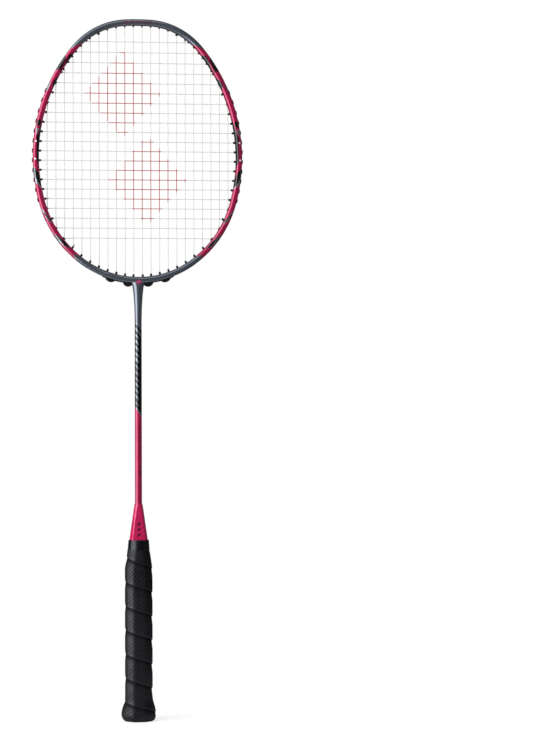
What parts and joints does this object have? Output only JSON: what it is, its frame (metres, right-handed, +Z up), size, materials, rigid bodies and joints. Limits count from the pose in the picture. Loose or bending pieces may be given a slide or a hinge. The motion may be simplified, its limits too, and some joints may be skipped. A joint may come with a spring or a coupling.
{
  "type": "badminton racket",
  "caption": "Strung badminton racket with an oval grooved hoop, a thin tubular shaft, a moulded cone and an eight-sided wrapped grip that flares at the butt.",
  "frame": {"origin": "middle of the butt's flat end, where the racket stands", "axes": "+Z up the shaft to the top of the head, +X across the face to the right as seen from the front, +Y through the string bed away from the front"},
  "size_m": [0.2034, 0.0318, 0.6751],
  "materials": {
    "frame_paint": "lacquered carbon fibre, slate metallic with magenta, black and silver shards",
    "shaft_paint": "lacquered carbon fibre, slate metallic above and magenta below",
    "resin": "moulded resin",
    "cone_paint": "lacquered moulding",
    "handle_wood": "sanded",
    "butt_plastic": "moulded",
    "plate_plastic": "moulded, with a turned ring",
    "grip_wrap": "perforated tacky polyurethane tape, wrapped with an overlap",
    "finishing_band": "stretched vinyl band",
    "grommet_black": "moulded nylon",
    "grommet_red": "moulded nylon",
    "string": "braided nylon, stencilled in red ink"
  },
  "bodies": {
    "root": {"head_hoop": "frame_paint", "throat_neck": "frame_paint", "shaft_tube": "shaft_paint", "t_joint_core": "resin", "cone_cap": "cone_paint", "handle_core": "handle_wood", "butt_cap": "butt_plastic", "end_plate": "plate_plastic", "grip_tape": "grip_wrap", "finishing_tape": "finishing_band", "grommets_top_left": "grommet_black", "grommets_top_middle": "grommet_red", "grommets_top_right": "grommet_black", "grommets_side_left": "grommet_black", "grommets_side_right": "grommet_black", "grommets_bottom_left": "grommet_black", "grommets_bottom_right": "grommet_black", "throat_strip_left": "grommet_black", "throat_strip_right": "grommet_black", "string_mains": "string", "string_crosses": "string", "string_knots": "string"}
  },
  "joints": []
}
